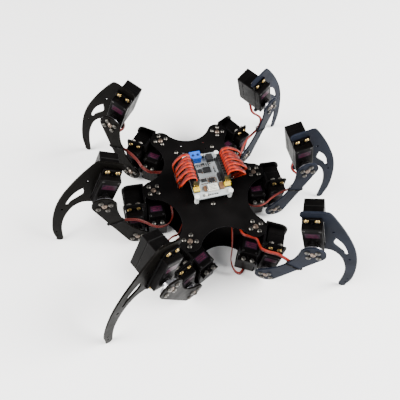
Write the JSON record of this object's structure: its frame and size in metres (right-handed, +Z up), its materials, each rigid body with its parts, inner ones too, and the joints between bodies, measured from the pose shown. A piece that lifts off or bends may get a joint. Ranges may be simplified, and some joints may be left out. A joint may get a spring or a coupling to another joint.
{
  "type": "hexapod walking robot",
  "caption": "Six-legged walking robot with claw-shaped feet, servo-driven legs, two scalloped body plates and a controller board on the deck.",
  "frame": {"origin": "middle of the belly plate, on its lower face, level with the middle hips; the six foot tips stand in the same plane", "axes": "+Y forwards, +Z up through the deck, +X to the robot's right"},
  "size_m": [0.3567, 0.2819, 0.1436],
  "materials": {
    "black_plate": "black satin anodised sheet",
    "standoff": "brass hexagonal post",
    "steel_screw": "plain socket-head steel",
    "brass_screw": "brass-coloured machine screw",
    "metal_horn": "turned metal disc with socket screws",
    "bearing_steel": "polished bearing ring",
    "nylon": "white nylon pillar",
    "circuit_board": "pale grey circuit board",
    "chip": "moulded black chip packages",
    "terminal_plastic": "blue screw terminal",
    "header_plastic": "black pin headers",
    "plug_plastic": "black lead plugs",
    "lead_insulation": "orange, red and brown flat servo lead",
    "servo_case": "semi-gloss black moulded case"
  },
  "bodies": {
    "chassis": {"bottom_plate": "black_plate", "top_plate": "black_plate", "body_standoffs": "standoff", "body_screws": "steel_screw", "hip_horns": "metal_horn", "hip_screws": "steel_screw", "hip_bearings": "bearing_steel", "board_pillars": "nylon", "controller_board": "circuit_board", "board_chips": "chip", "power_terminal": "terminal_plastic", "pin_headers": "header_plastic", "lead_plugs": "plug_plastic", "left_lead_slack": "lead_insulation", "right_lead_slack": "lead_insulation", "left_leg_leads": "lead_insulation", "right_leg_leads": "lead_insulation"},
    "coxa_right_front": {"coxa_bracket_right_front": "black_plate", "coxa_servos_right_front": "servo_case", "coxa_screws_right_front": "brass_screw"},
    "femur_right_front": {"femur_plate_right_front": "black_plate", "femur_horns_right_front": "metal_horn"},
    "tibia_right_front": {"tibia_claw_right_front": "black_plate", "tibia_servo_right_front": "servo_case"},
    "coxa_right_middle": {"coxa_bracket_right_middle": "black_plate", "coxa_servos_right_middle": "servo_case", "coxa_screws_right_middle": "brass_screw"},
    "femur_right_middle": {"femur_plate_right_middle": "black_plate", "femur_horns_right_middle": "metal_horn"},
    "tibia_right_middle": {"tibia_claw_right_middle": "black_plate", "tibia_servo_right_middle": "servo_case"},
    "coxa_right_rear": {"coxa_bracket_right_rear": "black_plate", "coxa_servos_right_rear": "servo_case", "coxa_screws_right_rear": "brass_screw"},
    "femur_right_rear": {"femur_plate_right_rear": "black_plate", "femur_horns_right_rear": "metal_horn"},
    "tibia_right_rear": {"tibia_claw_right_rear": "black_plate", "tibia_servo_right_rear": "servo_case"},
    "coxa_left_front": {"coxa_bracket_left_front": "black_plate", "coxa_servos_left_front": "servo_case", "coxa_screws_left_front": "brass_screw"},
    "femur_left_front": {"femur_plate_left_front": "black_plate", "femur_horns_left_front": "metal_horn"},
    "tibia_left_front": {"tibia_claw_left_front": "black_plate", "tibia_servo_left_front": "servo_case"},
    "coxa_left_middle": {"coxa_bracket_left_middle": "black_plate", "coxa_servos_left_middle": "servo_case", "coxa_screws_left_middle": "brass_screw"},
    "femur_left_middle": {"femur_plate_left_middle": "black_plate", "femur_horns_left_middle": "metal_horn"},
    "tibia_left_middle": {"tibia_claw_left_middle": "black_plate", "tibia_servo_left_middle": "servo_case"},
    "coxa_left_rear": {"coxa_bracket_left_rear": "black_plate", "coxa_servos_left_rear": "servo_case", "coxa_screws_left_rear": "brass_screw"},
    "femur_left_rear": {"femur_plate_left_rear": "black_plate", "femur_horns_left_rear": "metal_horn"},
    "tibia_left_rear": {"tibia_claw_left_rear": "black_plate", "tibia_servo_left_rear": "servo_case"}
  },
  "joints": [
    {"name": "hip_yaw_right_front", "type": "hinge", "parent": "chassis", "child": "coxa_right_front", "pos_m": [0.039, 0.0745, 0.0265], "axis": [0, 0, 1], "range_deg": [-28, 32], "deforming": ["right_leg_leads"]},
    {"name": "femur_lift_right_front", "type": "hinge", "parent": "coxa_right_front", "child": "femur_right_front", "pos_m": [0.06152, 0.08647, 0.0175], "axis": [0.4695, -0.8829, 0], "range_deg": [-70.5, 17.5], "deforming": ["right_leg_leads"]},
    {"name": "knee_right_front", "type": "hinge", "parent": "femur_right_front", "child": "tibia_right_front", "pos_m": [0.08542, 0.09918, 0.09384], "axis": [0.4695, -0.8829, 0], "range_deg": [-36.5, 75.5], "deforming": ["right_leg_leads"]},
    {"name": "hip_yaw_right_middle", "type": "hinge", "parent": "chassis", "child": "coxa_right_middle", "pos_m": [0.064, 0, 0.0265], "axis": [0, 0, 1], "range_deg": [-26, 34], "deforming": ["right_leg_leads"]},
    {"name": "femur_lift_right_middle", "type": "hinge", "parent": "coxa_right_middle", "child": "femur_right_middle", "pos_m": [0.08944, -0.00178, 0.0175], "axis": [-0.0698, -0.9976, 0], "range_deg": [-77.3, 10.7], "deforming": ["right_leg_leads"]},
    {"name": "knee_right_middle", "type": "hinge", "parent": "femur_right_middle", "child": "tibia_right_middle", "pos_m": [0.10721, -0.00302, 0.09652], "axis": [-0.0698, -0.9976, 0], "range_deg": [-27.2, 84.8], "deforming": ["right_leg_leads"]},
    {"name": "hip_yaw_right_rear", "type": "hinge", "parent": "chassis", "child": "coxa_right_rear", "pos_m": [0.039, -0.0745, 0.0265], "axis": [0, 0, 1], "range_deg": [-30, 30], "deforming": ["right_leg_leads"]},
    {"name": "femur_lift_right_rear", "type": "hinge", "parent": "coxa_right_rear", "child": "femur_right_rear", "pos_m": [0.06108, -0.08725, 0.0175], "axis": [-0.5, -0.866, 0], "range_deg": [-68.2, 19.8], "deforming": ["right_leg_leads"]},
    {"name": "knee_right_rear", "type": "hinge", "parent": "femur_right_rear", "child": "tibia_right_rear", "pos_m": [0.08709, -0.10227, 0.09273], "axis": [-0.5, -0.866, 0], "range_deg": [-39.8, 72.2], "deforming": ["right_leg_leads"]},
    {"name": "hip_yaw_left_front", "type": "hinge", "parent": "chassis", "child": "coxa_left_front", "pos_m": [-0.039, 0.0745, 0.0265], "axis": [0, 0, 1], "range_deg": [-22, 38], "deforming": ["left_leg_leads"]},
    {"name": "femur_lift_left_front", "type": "hinge", "parent": "coxa_left_front", "child": "femur_left_front", "pos_m": [-0.05909, 0.0902, 0.0175], "axis": [0.6157, 0.788, 0], "range_deg": [-75.7, 12.3], "deforming": ["left_leg_leads"]},
    {"name": "knee_left_front", "type": "hinge", "parent": "femur_left_front", "child": "tibia_left_front", "pos_m": [-0.07484, 0.1025, 0.096], "axis": [0.6157, 0.788, 0], "range_deg": [-29.3, 82.7], "deforming": ["left_leg_leads"]},
    {"name": "hip_yaw_left_middle", "type": "hinge", "parent": "chassis", "child": "coxa_left_middle", "pos_m": [-0.064, 0, 0.0265], "axis": [0, 0, 1], "range_deg": [-26, 34], "deforming": ["left_leg_leads"]},
    {"name": "femur_lift_left_middle", "type": "hinge", "parent": "coxa_left_middle", "child": "femur_left_middle", "pos_m": [-0.08944, 0.00178, 0.0175], "axis": [0.0698, 0.9976, 0], "range_deg": [-69.3, 18.7], "deforming": ["left_leg_leads"]},
    {"name": "knee_left_middle", "type": "hinge", "parent": "femur_left_middle", "child": "tibia_left_middle", "pos_m": [-0.11796, 0.00377, 0.09329], "axis": [0.0698, 0.9976, 0], "range_deg": [-38.2, 73.8], "deforming": ["left_leg_leads"]},
    {"name": "hip_yaw_left_rear", "type": "hinge", "parent": "chassis", "child": "coxa_left_rear", "pos_m": [-0.039, -0.0745, 0.0265], "axis": [0, 0, 1], "range_deg": [-25, 35], "deforming": ["left_leg_leads"]},
    {"name": "femur_lift_left_rear", "type": "hinge", "parent": "coxa_left_rear", "child": "femur_left_rear", "pos_m": [-0.06211, -0.08528, 0.0175], "axis": [-0.4226, 0.9063, 0], "range_deg": [-66.1, 21.9], "deforming": ["left_leg_leads"]},
    {"name": "knee_left_rear", "type": "hinge", "parent": "femur_left_rear", "child": "tibia_left_rear", "pos_m": [-0.0918, -0.09912, 0.09158], "axis": [-0.4226, 0.9063, 0], "range_deg": [-42.9, 69.1], "deforming": ["left_leg_leads"]}
  ]
}
